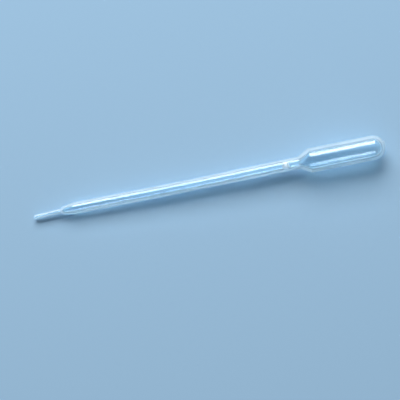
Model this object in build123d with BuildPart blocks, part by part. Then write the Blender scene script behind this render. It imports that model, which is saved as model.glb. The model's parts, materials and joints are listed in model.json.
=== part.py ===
from build123d import *
import os
from math import asin, atan2, cos, hypot, sin, tan

# A disposable dropper pipette, blown in one piece from soft, milky polyethylene: a fine
# drawn tip, a long thin stem and a squeeze bulb with one continuous wall around one bore.
# It lies on its side as it comes to rest, on the front of the stem and the shoulder of the
# bulb, so its own axis climbs slightly from the tip to the bulb.
# Millimetres. "From the mouth" means along the pipette's own axis, from the end of the tip.

# The whole pipette
overall_length = 150.0  # mouth of the tip to the scar on the end of the bulb

# Fine tip, drawn out of the front of the tube and cut square
tip_length = 11.3
tip_mouth_radius = 0.83
tip_root_radius = 0.94
tip_bore_radius = 0.45
mouth_round = 0.15

# Nose behind the tip: a short rounded step, then a slow taper up to the stem
nose_length = 6.0
nose_step_length = 0.8
nose_step_radius = 1.6
nose_root_round = 0.3
nose_step_round = 0.5
nose_blend_radius = 10.0
nose_wall = 0.7  # thickness of the step and of the taper
throat_length = 0.8  # the fine bore runs this much further than the outside step

# Stem, with a slightly wider neck just in front of the bulb
stem_radius = 2.44
stem_wall = 0.8
neck_radius = 2.52
neck_wall = 0.65
neck_length = 25.0
neck_rise_length = 6.0

# Bead: a short thick ring inside the neck
bead_length = 3.0
bead_height = 0.4
bead_from_shoulder = 4.2
bead_round = 0.5

# Squeeze bulb: conical shoulder, straight barrel and round end
bulb_length = 36.8
bulb_radius = 5.15
bulb_wall = 1.0
shoulder_length = 4.6
shoulder_root_round = 0.8
shoulder_round = 0.8
shoulder_inner_round = 1.0
dome_wall = 1.0

# Marks of the two mould halves: a fine ridge on both sides and the pinch-off scar
ridge_height = 0.04
ridge_width = 0.25
scar_length = 3.0
scar_width = 0.8
scar_height = 0.12
scar_shift = 0.5  # the scar sits a little to one side of the axis

contact_depth = 0.07  # how far the soft wall gives where it bears on the floor
cut_overrun = 1.0  # the bore's cutter starts this far in front of the mouth

# Stations from the mouth
nose_step_end = tip_length + nose_step_length
stem_start = tip_length + nose_length
throat_end = nose_step_end + throat_length
shoulder_start = overall_length - bulb_length
shoulder_end = shoulder_start + shoulder_length
neck_end_of_rise = shoulder_start - neck_length
neck_start_of_rise = neck_end_of_rise - neck_rise_length
bead_end = shoulder_start - bead_from_shoulder
bead_start = bead_end - bead_length
dome_apex = overall_length - scar_height
dome_center = dome_apex - bulb_radius

# Slopes of the two cones against the pipette's axis
nose_angle = atan2(stem_radius - nose_step_radius, stem_start - nose_step_end)
shoulder_angle = atan2(bulb_radius - neck_radius, shoulder_length)

# Lying still: the floor runs along the common tangent of the two round corners that it
# touches, the one where the nose meets the stem and the one where the shoulder meets the
# barrel. The soft wall gives a little there, so the floor is a hair above that tangent.
front_center_x = stem_start + nose_blend_radius * tan(nose_angle / 2)
front_center_r = stem_radius - nose_blend_radius
back_center_x = shoulder_end + shoulder_round * tan(shoulder_angle / 2)
back_center_r = bulb_radius - shoulder_round
run = back_center_x - front_center_x
rise = back_center_r - front_center_r
lean = atan2(rise, run) - asin((nose_blend_radius - shoulder_round) / hypot(run, rise))
axis_drop = front_center_x * sin(lean) - front_center_r * cos(lean)
mouth_height = nose_blend_radius - axis_drop - contact_depth

# The model's origin is on the floor, under the middle of the pipette's length
mouth = Vector(-overall_length / 2 * cos(lean), 0, mouth_height)
along = Vector(cos(lean), 0, sin(lean))
upward = Vector(-sin(lean), 0, cos(lean))
section_plane = Plane(origin=mouth, x_dir=along, z_dir=(0, -1, 0))
parting_plane = Plane(origin=mouth, x_dir=along, z_dir=upward)
end_plane = Plane(origin=mouth + along * dome_center, x_dir=(0, 1, 0), z_dir=along)
pipette_axis = Axis(mouth, along)

# Bores of the stem, the neck and the bulb, each inside its own wall
stem_bore = stem_radius - stem_wall
neck_bore = neck_radius - neck_wall
bulb_bore = bulb_radius - bulb_wall
shoulder_shift = bulb_wall * tan(shoulder_angle / 2)
inner_dome_center = dome_apex - dome_wall - bulb_bore

with BuildPart() as pipette:
    # Outside: half of the lengthwise section, turned around the axis
    with BuildSketch(section_plane) as outside:
        with BuildLine():
            FilletPolyline(
                (0, 0),
                (0, tip_mouth_radius),
                (tip_length, tip_root_radius),
                (nose_step_end, nose_step_radius),
                (stem_start, stem_radius),
                (neck_start_of_rise, stem_radius),
                (neck_end_of_rise, neck_radius),
                (shoulder_start, neck_radius),
                (shoulder_end, bulb_radius),
                (dome_center, bulb_radius),
                radius=[
                    mouth_round,
                    nose_root_round,
                    nose_step_round,
                    nose_blend_radius,
                    0,
                    0,
                    shoulder_root_round,
                    shoulder_round,
                ],
            )
            CenterArc((dome_center, 0), bulb_radius, 90, -90)
            Line((dome_apex, 0), (0, 0))
        make_face()
    revolve(axis=pipette_axis)

    # Mould ridge: the same outline on both sides, slightly larger, in the parting plane
    with BuildSketch(parting_plane):
        add(outside.sketch_local)
        mirror(about=Plane.XZ)
        offset(amount=ridge_height)
        split(bisect_by=Plane.YZ, keep=Keep.TOP)
    extrude(amount=ridge_width / 2, both=True)

    # Pinch-off scar: a low bar across the end of the bulb, in line with the ridge
    with BuildSketch(end_plane):
        with Locations((scar_shift, 0)):
            SlotOverall(scar_length, scar_width)
    extrude(amount=overall_length - dome_center)

    # Inside: the fine bore, the throat behind the step, the stem's bore with its bead
    # and the room of the bulb
    with BuildSketch(section_plane):
        with BuildLine():
            FilletPolyline(
                (-cut_overrun, 0),
                (-cut_overrun, tip_bore_radius),
                (nose_step_end, tip_bore_radius),
                (throat_end, nose_step_radius - nose_wall),
                (stem_start, stem_bore),
                (bead_start, stem_bore),
                (bead_start + bead_length / 3, stem_bore - bead_height),
                (bead_end - bead_length / 3, stem_bore - bead_height),
                (bead_end, neck_bore),
                (shoulder_start + shoulder_shift, neck_bore),
                (shoulder_end + shoulder_shift, bulb_bore),
                (inner_dome_center, bulb_bore),
                radius=[
                    0,
                    nose_root_round,
                    nose_root_round,
                    nose_blend_radius,
                    bead_round,
                    bead_round,
                    bead_round,
                    bead_round,
                    shoulder_inner_round,
                    shoulder_inner_round,
                ],
            )
            CenterArc((inner_dome_center, 0), bulb_bore, 90, -90)
            Line((inner_dome_center + bulb_bore, 0), (-cut_overrun, 0))
        make_face()
    revolve(axis=pipette_axis, mode=Mode.SUBTRACT)

    # Two small flats where the pipette bears on the floor, so that it lies without rolling
    split(bisect_by=Plane.XY, keep=Keep.TOP)

pipette.part.label = "pipette"
os.makedirs("parts", exist_ok=True)
export_step(pipette.part, "parts/pipette.step")
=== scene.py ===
import json
import math

import bpy
import numpy as np
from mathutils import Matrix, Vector


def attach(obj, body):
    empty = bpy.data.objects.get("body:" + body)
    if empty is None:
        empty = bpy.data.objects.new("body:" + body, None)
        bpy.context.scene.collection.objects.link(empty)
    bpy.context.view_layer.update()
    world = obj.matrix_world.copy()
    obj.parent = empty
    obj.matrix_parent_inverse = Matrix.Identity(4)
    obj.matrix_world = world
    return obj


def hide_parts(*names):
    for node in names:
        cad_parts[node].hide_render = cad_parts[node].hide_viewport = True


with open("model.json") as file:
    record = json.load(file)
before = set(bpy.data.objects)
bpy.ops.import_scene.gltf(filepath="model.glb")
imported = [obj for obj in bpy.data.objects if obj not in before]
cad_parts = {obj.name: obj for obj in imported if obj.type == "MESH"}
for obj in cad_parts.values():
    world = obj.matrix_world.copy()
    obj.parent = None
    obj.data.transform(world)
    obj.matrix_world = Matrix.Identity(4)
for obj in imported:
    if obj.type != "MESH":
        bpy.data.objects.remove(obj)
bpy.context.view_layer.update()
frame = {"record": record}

# ---------------------------------------------------------------------------------------
# The pipette. One hollow piece of soft, milky low-density polyethylene, blown in a mould
# of two halves: a fine drawn tip, a nose, a long stem with a short thick ring inside its
# neck, and a squeeze bulb whose end carries the bar where the tube was pinched off.
# ---------------------------------------------------------------------------------------

# Where it lies: the tip's bore tells the mouth and the way that the axis climbs
bore = next(m for m in frame["record"]["mounts"] if m["name"] == "tip_bore")
along = -Vector(bore["axis"]).normalized()
across = Vector((0.0, 1.0, 0.0))
upward = along.cross(across)
mouth = Vector(bore["pos_m"]) - along * bore["dims"]["length_mm"] / 2000

# Outside, in millimetres from the mouth and from the axis
overall_length = 150.0
tip_length = 11.3
tip_mouth_radius = 0.83
tip_root_radius = 0.94
nose_step_end = 12.1
nose_step_radius = 1.6
stem_start = 17.3
stem_radius = 2.44
neck_rise_start = 82.2
neck_rise_end = 88.2
neck_radius = 2.52
shoulder_start = 113.2
shoulder_end = 117.8
bulb_radius = 5.15
scar_height = 0.12
dome_apex = overall_length - scar_height
dome_center = dome_apex - bulb_radius

# Inside
tip_bore_radius = 0.45
throat_end = 12.9
throat_radius = 0.9
stem_bore = 1.64
bead_start = 106.0
bead_end = 109.0
bead_slope = 1.0
bead_bore = 1.24
neck_bore = 1.87
bulb_bore = 4.15
shoulder_shift = 0.266
dome_wall = 1.0
inner_dome_center = dome_apex - dome_wall - bulb_bore

# Corners are rounded in short steps, and no two points of a line are further apart
corner_step = 0.14
longest_step = 0.7


def rounded_line(corners):
    """Straight runs with rounded corners, as closely spaced points."""
    keys = [np.array(corners[0][:2])]
    for k in range(1, len(corners) - 1):
        before, corner, after = (np.array(corners[k + i][:2]) for i in (-1, 0, 1))
        radius = corners[k][2]
        if radius == 0:
            keys.append(corner)
            continue
        coming = (corner - before) / np.linalg.norm(corner - before)
        going = (after - corner) / np.linalg.norm(after - corner)
        turn = math.atan2(coming[0] * going[1] - coming[1] * going[0], coming @ going)
        start = corner - coming * radius * math.tan(abs(turn) / 2)
        side = np.array((-coming[1], coming[0])) * math.copysign(radius, turn)
        quarter = np.array((side[1], -side[0]))
        steps = max(3, math.ceil(abs(turn) / corner_step))
        for a in np.linspace(0, turn, steps + 1):
            keys.append(start + side - side * math.cos(a) + quarter * math.sin(a))
    keys.append(np.array(corners[-1][:2]))
    line = [keys[0]]
    for a, b in zip(keys, keys[1:]):
        parts = math.ceil(np.linalg.norm(b - a) / longest_step)
        line += [a + (b - a) * i / parts for i in range(1, parts + 1)]
    return line


# The lengthwise section as one line: from the inside of the bulb's end to the mouth,
# round the lip and back along the outside. Each corner: station, radius, rounding
section = rounded_line(
    [
        (inner_dome_center, bulb_bore, 0),
        (shoulder_end + shoulder_shift, bulb_bore, 1.0),
        (shoulder_start + shoulder_shift, neck_bore, 1.0),
        (bead_end, neck_bore, 0.5),
        (bead_end - bead_slope, bead_bore, 0.5),
        (bead_start + bead_slope, bead_bore, 0.5),
        (bead_start, stem_bore, 0.5),
        (stem_start, stem_bore, 10.0),
        (throat_end, throat_radius, 0.3),
        (nose_step_end, tip_bore_radius, 0.3),
        (0.0, tip_bore_radius, 0.05),
        (0.0, tip_mouth_radius, 0.15),
        (tip_length, tip_root_radius, 0.3),
        (nose_step_end, nose_step_radius, 0.5),
        (stem_start, stem_radius, 10.0),
        (neck_rise_start, stem_radius, 0),
        (neck_rise_end, neck_radius, 0),
        (shoulder_start, neck_radius, 0.8),
        (shoulder_end, bulb_radius, 0.8),
        (dome_center, bulb_radius, 0),
    ]
)
inner_dome = [
    np.array((inner_dome_center + bulb_bore * math.cos(a), bulb_bore * math.sin(a)))
    for a in np.linspace(0, math.pi / 2, 40, endpoint=False)
]
outer_dome = [
    np.array((dome_center + bulb_radius * math.cos(a), bulb_radius * math.sin(a)))
    for a in np.linspace(math.pi / 2, 0, 80)[1:]
]
outer_dome[-1][1] = 0.0
section = np.array(inner_dome + section + outer_dome)

# Which way the skin faces at each point of the section
ahead = np.vstack((section[1:], section[-1:]))
behind = np.vstack((section[:1], section[:-1]))
run = (ahead - behind) / np.linalg.norm(ahead - behind, axis=1)[:, None]
facing = np.column_stack((-run[:, 1], run[:, 0]))
facing[0] = (-1.0, 0.0)
facing[-1] = (1.0, 0.0)

# The outside begins at the lip, on the flat ring round the bore's mouth
lip_radius = 0.6
lip = int(np.argmin(section[:, 0] + (section[:, 1] < lip_radius) * 10))

# Rings of points round the axis, drawn together at the two mould ridges
ridge_height = 0.04
ridge_width = 0.25
ridge_steps = np.array((-0.24, -0.15, -0.07, 0.0, 0.07, 0.15, 0.24))
body_steps = 38

# Blown walls are never quite even: long, very shallow waves run over both skins, and the
# outside lies a little inside its full size. Each wave: pace along the axis, turns round it
outer_wave = 0.0006
outer_waves = ((0.41, 2), (1.1, 1))
inner_wave = 0.0008
inner_waves = ((0.55, 1), (1.3, -2))
shrink = 0.012

# The waves die out towards the mouth and the axis, and the ridge towards the mouth
calm_length = 0.8
calm_radius = 1.6


def ring_angles(radius):
    """Angles round the axis, from one ridge to the other and back."""
    near = ridge_steps * min(1.0 / radius, 0.9)
    gap = np.linspace(near[-1], math.pi + near[0], body_steps + 2)[1:-1]
    return np.concatenate((near, gap, math.pi + near, gap + math.pi))


def wave_at(waves, station, turn):
    """The height of the waves in a skin, where each alone rises to 1."""
    return sum(np.sin(station * pace + turns * turn) for pace, turns in waves)


points = []
for k, ((station, radius), (lengthwise, outward)) in enumerate(zip(section, facing)):
    turn = ring_angles(radius) if radius > 0 else np.zeros(1)
    fade = min(1.0, station / calm_length, radius / calm_radius)
    if k >= lip:
        beside = np.abs(np.sin(turn)) * radius / (ridge_width / 2)
        stand = ridge_height * np.clip(1.3 - beside, 0, 1) * min(1.0, station / calm_length)
        stand += (outer_wave * wave_at(outer_waves, station, turn) - shrink) * fade
    else:
        stand = inner_wave * wave_at(inner_waves, station, turn) * fade
    x = station + lengthwise * stand
    r = radius + outward * stand
    points.append(np.column_stack((x + 0 * turn, r * np.cos(turn), r * np.sin(turn))))

# Pinch-off bar across the end of the bulb, in line with the ridges
scar_length = 3.0
scar_width = 0.8
scar_shift = 0.5
scar_edge = 0.2
for ring in points[-len(outer_dome):]:
    x, y, z = ring.T
    past = np.maximum(np.abs(y - scar_shift) - (scar_length - scar_width) / 2, 0)
    depth = np.clip((scar_width / 2 - np.hypot(past, z)) / scar_edge + 0.5, 0, 1)
    ring[:, 0] = x + (overall_length - x) * depth * depth * (3 - 2 * depth)

# The stem is bowed a little and the tip bent, both to the same side
bow = 0.25
bow_start = 14
bow_length = 99
bend = 0.46
bend_length = 12.5
cloud = np.vstack(points)
x = cloud[:, 0]
stem_share = np.clip((x - bow_start) / bow_length, 0, 1)
tip_share = np.clip((bend_length - x) / bend_length, 0, 1)
cloud[:, 1] -= bow * np.sin(stem_share * math.pi) ** 2 + bend * tip_share ** 1.5

# Where the pipette bears on the floor it is pressed flat, a hair above it, in metres
lowest = 0.00001
placed = np.array(mouth) + cloud @ np.array((along, across, upward)) * 0.001
placed[:, 2] = np.maximum(placed[:, 2], lowest)

# Faces between neighbouring rings; the first and the last ring are single points
count = len(points[1])
faces = []
start = 0
for here, there in zip(points, points[1:]):
    a = start + np.arange(count) % len(here)
    b = start + len(here) + np.arange(count) % len(there)
    start += len(here)
    for i in range(count):
        j = (i + 1) % count
        corners = dict.fromkeys((int(a[i]), int(a[j]), int(b[j]), int(b[i])))
        faces.append(tuple(corners))
shape = bpy.data.meshes.new("pipette_wall")
shape.from_pydata(placed.tolist(), [], faces)
shape.polygons.foreach_set("use_smooth", [True] * len(shape.polygons))
shape.update()
pipette = bpy.data.objects.new("pipette_wall", shape)
bpy.context.scene.collection.objects.link(pipette)

# Milky polyethylene: nearly clear where the wall is seen square on and whitish where it
# is seen at a slant, with faint lines along its length and a soft, slightly uneven gloss
plastic = bpy.data.materials.new("milky_polyethylene")
plastic.use_nodes = True
nodes = plastic.node_tree.nodes
links = plastic.node_tree.links
skin = nodes["Principled BSDF"]
skin.inputs["IOR"].default_value = 1.51


def mottle(waves_per_metre, detail, stretch):
    """Unevenness in the plastic, from 0 to 1, stretched along the pipette."""
    place = nodes.new("ShaderNodeTexCoord")
    squeeze = nodes.new("ShaderNodeMapping")
    squeeze.inputs["Scale"].default_value = (1 / stretch, 1.0, 1.0)
    cells = nodes.new("ShaderNodeTexNoise")
    cells.inputs["Scale"].default_value = waves_per_metre
    cells.inputs["Detail"].default_value = detail
    links.new(place.outputs["Object"], squeeze.inputs["Vector"])
    links.new(squeeze.outputs["Vector"], cells.inputs["Vector"])
    return cells.outputs["Fac"]


def spread(source, low, high, least=0.3, most=0.7):
    """Spreads a value from the range least..most over low..high."""
    scale = nodes.new("ShaderNodeMapRange")
    scale.interpolation_type = "SMOOTHSTEP"
    scale.inputs["From Min"].default_value = least
    scale.inputs["From Max"].default_value = most
    scale.inputs["To Min"].default_value = low
    scale.inputs["To Max"].default_value = high
    links.new(source, scale.inputs["Value"])
    return scale.outputs["Result"]


def reckon(operation, first, second):
    """One step of arithmetic on two values in the plastic."""
    step = nodes.new("ShaderNodeMath")
    step.operation = operation
    links.new(first, step.inputs[0])
    links.new(second, step.inputs[1])
    return step.outputs["Value"]


def room_x(station):
    """A station's place along the room's X axis, in metres."""
    return mouth.x + along.x * station * 0.001


drawn_lines = mottle(1400, 2, 40)
clouds = mottle(160, 3, 3)
grain = mottle(2600, 2, 2)

# How milky the wall looks: most at a slant, more in the thick wall of the stem than in the
# bulb, and more again in the drawn tip
cloud_milk = 0.03
stem_milk = 0.1
tip_milk = 0.12
slant = nodes.new("ShaderNodeLayerWeight")
slant.inputs["Blend"].default_value = 0.5
place = nodes.new("ShaderNodeTexCoord")
lengthwise = nodes.new("ShaderNodeSeparateXYZ")
links.new(place.outputs["Object"], lengthwise.inputs["Vector"])
from_tip = lengthwise.outputs["X"]
in_stem = spread(from_tip, stem_milk, 0.0, room_x(shoulder_start), room_x(shoulder_end))
in_tip = spread(from_tip, tip_milk, 0.0, room_x(tip_length), room_x(throat_end))
milk = reckon("ADD", slant.outputs["Facing"], spread(clouds, 0.0, cloud_milk))
milk = reckon("ADD", milk, in_stem)
milk = reckon("ADD", milk, in_tip)

# Only the inner skin of the ring in the neck is white, partly its own milk and partly a
# painted highlight: distances from its middle, in metres
white_within = 0.0013
clear_beyond = 0.002
to_bead = nodes.new("ShaderNodeVectorMath")
to_bead.operation = "DISTANCE"
to_bead.inputs[1].default_value = mouth + along * (bead_start + bead_end) / 2000
links.new(place.outputs["Object"], to_bead.inputs[0])
white = spread(to_bead.outputs["Value"], 0.98, 0.0, white_within, clear_beyond)
white = reckon("MULTIPLY", white, spread(clouds, 0.88, 1.0))

# From clear wall to milky wall, less the drawn lines and the white ring with its painted
# highlight
milk_start = 0.25
milk_full = 0.45
clearest = 0.985
milkiest = 0.55
clear = spread(milk, clearest, milkiest, milk_start, milk_full)
clear = reckon("SUBTRACT", clear, spread(drawn_lines, 0.0, 0.02))
clear = reckon("SUBTRACT", clear, white)
links.new(clear, skin.inputs["Transmission Weight"])

tint = nodes.new("ShaderNodeMix")
tint.data_type = "RGBA"
tint.inputs["A"].default_value = (0.8, 0.9, 0.95, 1.0)
tint.inputs["B"].default_value = (0.87, 0.94, 0.97, 1.0)
links.new(spread(clouds, 0.0, 1.0), tint.inputs["Factor"])
# The ring's white goes into the base colour: the thick ring's own milk and a painted
# highlight in one
bead_milk_and_highlight = nodes.new("ShaderNodeMix")
bead_milk_and_highlight.data_type = "RGBA"
bead_milk_and_highlight.inputs["B"].default_value = (1.0, 1.0, 1.0, 1.0)
links.new(white, bead_milk_and_highlight.inputs["Factor"])
links.new(tint.outputs["Result"], bead_milk_and_highlight.inputs["A"])
links.new(bead_milk_and_highlight.outputs["Result"], skin.inputs["Base Color"])

links.new(spread(clouds, 0.005, 0.015), skin.inputs["Roughness"])

relief = nodes.new("ShaderNodeBump")
relief.inputs["Strength"].default_value = 0.02
relief.inputs["Distance"].default_value = 0.00002
links.new(grain, relief.inputs["Height"])
links.new(relief.outputs["Normal"], skin.inputs["Normal"])

# Where the wall is milky, some of the light from behind it is scattered on through it
veil_share = 0.4
veil = nodes.new("ShaderNodeBsdfTranslucent")
veil.inputs["Color"].default_value = (0.86, 0.95, 1.0, 1.0)
wall = nodes.new("ShaderNodeMixShader")
links.new(spread(milk, 0.0, veil_share, milk_start, milk_full), wall.inputs["Fac"])
links.new(skin.outputs["BSDF"], wall.inputs[1])
links.new(veil.outputs["BSDF"], wall.inputs[2])
links.new(wall.outputs["Shader"], nodes["Material Output"].inputs["Surface"])

shape.materials.append(plastic)
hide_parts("pipette")
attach(pipette, "root")

# ---------------------------------------------------------------------------------------
# The table under the pipette: a large flat board in a plain pale blue, rolled on as a
# matt paint. Nothing stands on it but the pipette, and it keeps the pipette's shadow.
# ---------------------------------------------------------------------------------------
board_reach = 4
board_corners = [
    (-board_reach, -board_reach, 0),
    (board_reach, -board_reach, 0),
    (board_reach, board_reach, 0),
    (-board_reach, board_reach, 0),
]
board = bpy.data.meshes.new("board")
board.from_pydata(board_corners, [], [(0, 1, 2, 3)])
table = bpy.data.objects.new("board", board)
bpy.context.scene.collection.objects.link(table)
paint = bpy.data.materials.new("board_paint")
paint.use_nodes = True
coat = paint.node_tree.nodes["Principled BSDF"]
coat.inputs["Base Color"].default_value = (0.38, 0.6, 0.82, 1.0)
coat.inputs["Roughness"].default_value = 0.6
coat.inputs["Specular IOR Level"].default_value = 0.0
board.materials.append(paint)

# ---------------------------------------------------------------------------------------
# Light: one large soft panel on a stand beside the table, long side along the pipette,
# and a pale room all round. Light is followed through the thin walls without blurring,
# so that the floor behind them stays bright.
# ---------------------------------------------------------------------------------------
panel_distance = 2
panel_rise = math.radians(40.5)
panel = bpy.data.lights.new("panel", "AREA")
panel.shape = "RECTANGLE"
panel.size = 1.8
panel.size_y = 1.2
panel.energy = 58.0
lamp = bpy.data.objects.new("panel", panel)
lamp.location = (
    0.0,
    panel_distance * math.cos(panel_rise),
    panel_distance * math.sin(panel_rise),
)
lamp.rotation_euler = Vector(lamp.location).to_track_quat("Z", "Y").to_euler()
bpy.context.scene.collection.objects.link(lamp)
room = bpy.data.worlds.new("room")
room.use_nodes = True
sky = room.node_tree
glow = sky.nodes["Background"]
glow.inputs["Color"].default_value = (0.9, 0.95, 1.0, 1.0)
glow.inputs["Strength"].default_value = 0.03

# What the camera, the gloss and the clear walls show of the room is its pale wall colour.
# Light that has bounced off the table or the milky plastic finds more and more of the glow
lost_by_bounce = 0.75
walls = sky.nodes.new("ShaderNodeBackground")
walls.inputs["Color"].default_value = (0.42, 0.72, 0.95, 1.0)
ray = sky.nodes.new("ShaderNodeLightPath")
shown = sky.nodes.new("ShaderNodeMath")
shown.operation = "MAXIMUM"
sky.links.new(ray.outputs["Is Glossy Ray"], shown.inputs[0])
sky.links.new(ray.outputs["Is Transmission Ray"], shown.inputs[1])
seen = sky.nodes.new("ShaderNodeMath")
seen.operation = "MAXIMUM"
sky.links.new(ray.outputs["Is Camera Ray"], seen.inputs[0])
sky.links.new(shown.outputs["Value"], seen.inputs[1])
unbounced = sky.nodes.new("ShaderNodeMath")
unbounced.operation = "MULTIPLY_ADD"
unbounced.use_clamp = True
unbounced.inputs[1].default_value = -lost_by_bounce
unbounced.inputs[2].default_value = 1.0
sky.links.new(ray.outputs["Diffuse Depth"], unbounced.inputs[0])
pale = sky.nodes.new("ShaderNodeMath")
pale.operation = "MULTIPLY"
sky.links.new(seen.outputs["Value"], pale.inputs[0])
sky.links.new(unbounced.outputs["Value"], pale.inputs[1])
either = sky.nodes.new("ShaderNodeMixShader")
sky.links.new(pale.outputs["Value"], either.inputs["Fac"])
sky.links.new(glow.outputs["Background"], either.inputs[1])
sky.links.new(walls.outputs["Background"], either.inputs[2])
sky.links.new(either.outputs["Shader"], sky.nodes["World Output"].inputs["Surface"])
bpy.context.scene.world = room
bpy.context.scene.cycles.blur_glossy = 0.0

# ---------------------------------------------------------------------------------------
# Camera: a long lens on a stand over the table, almost straight above the pipette and
# turned a little, so that the pipette climbs to the right and fills the frame's width.
# ---------------------------------------------------------------------------------------
aim = Vector((-0.0055, -0.0071, 0.004))
lens_distance = 0.4421
lens = bpy.data.cameras.new("camera")
lens.lens = 95.0
lens.sensor_width = 36.0
camera = bpy.data.objects.new("camera", lens)
camera.rotation_euler = (math.radians(4.0), 0.0, math.radians(-11.36))
looking_back = camera.rotation_euler.to_matrix() @ Vector((0.0, 0.0, 1.0))
camera.location = aim + looking_back * lens_distance
bpy.context.scene.collection.objects.link(camera)
bpy.context.scene.camera = camera
bpy.context.scene.view_settings.view_transform = "Standard"
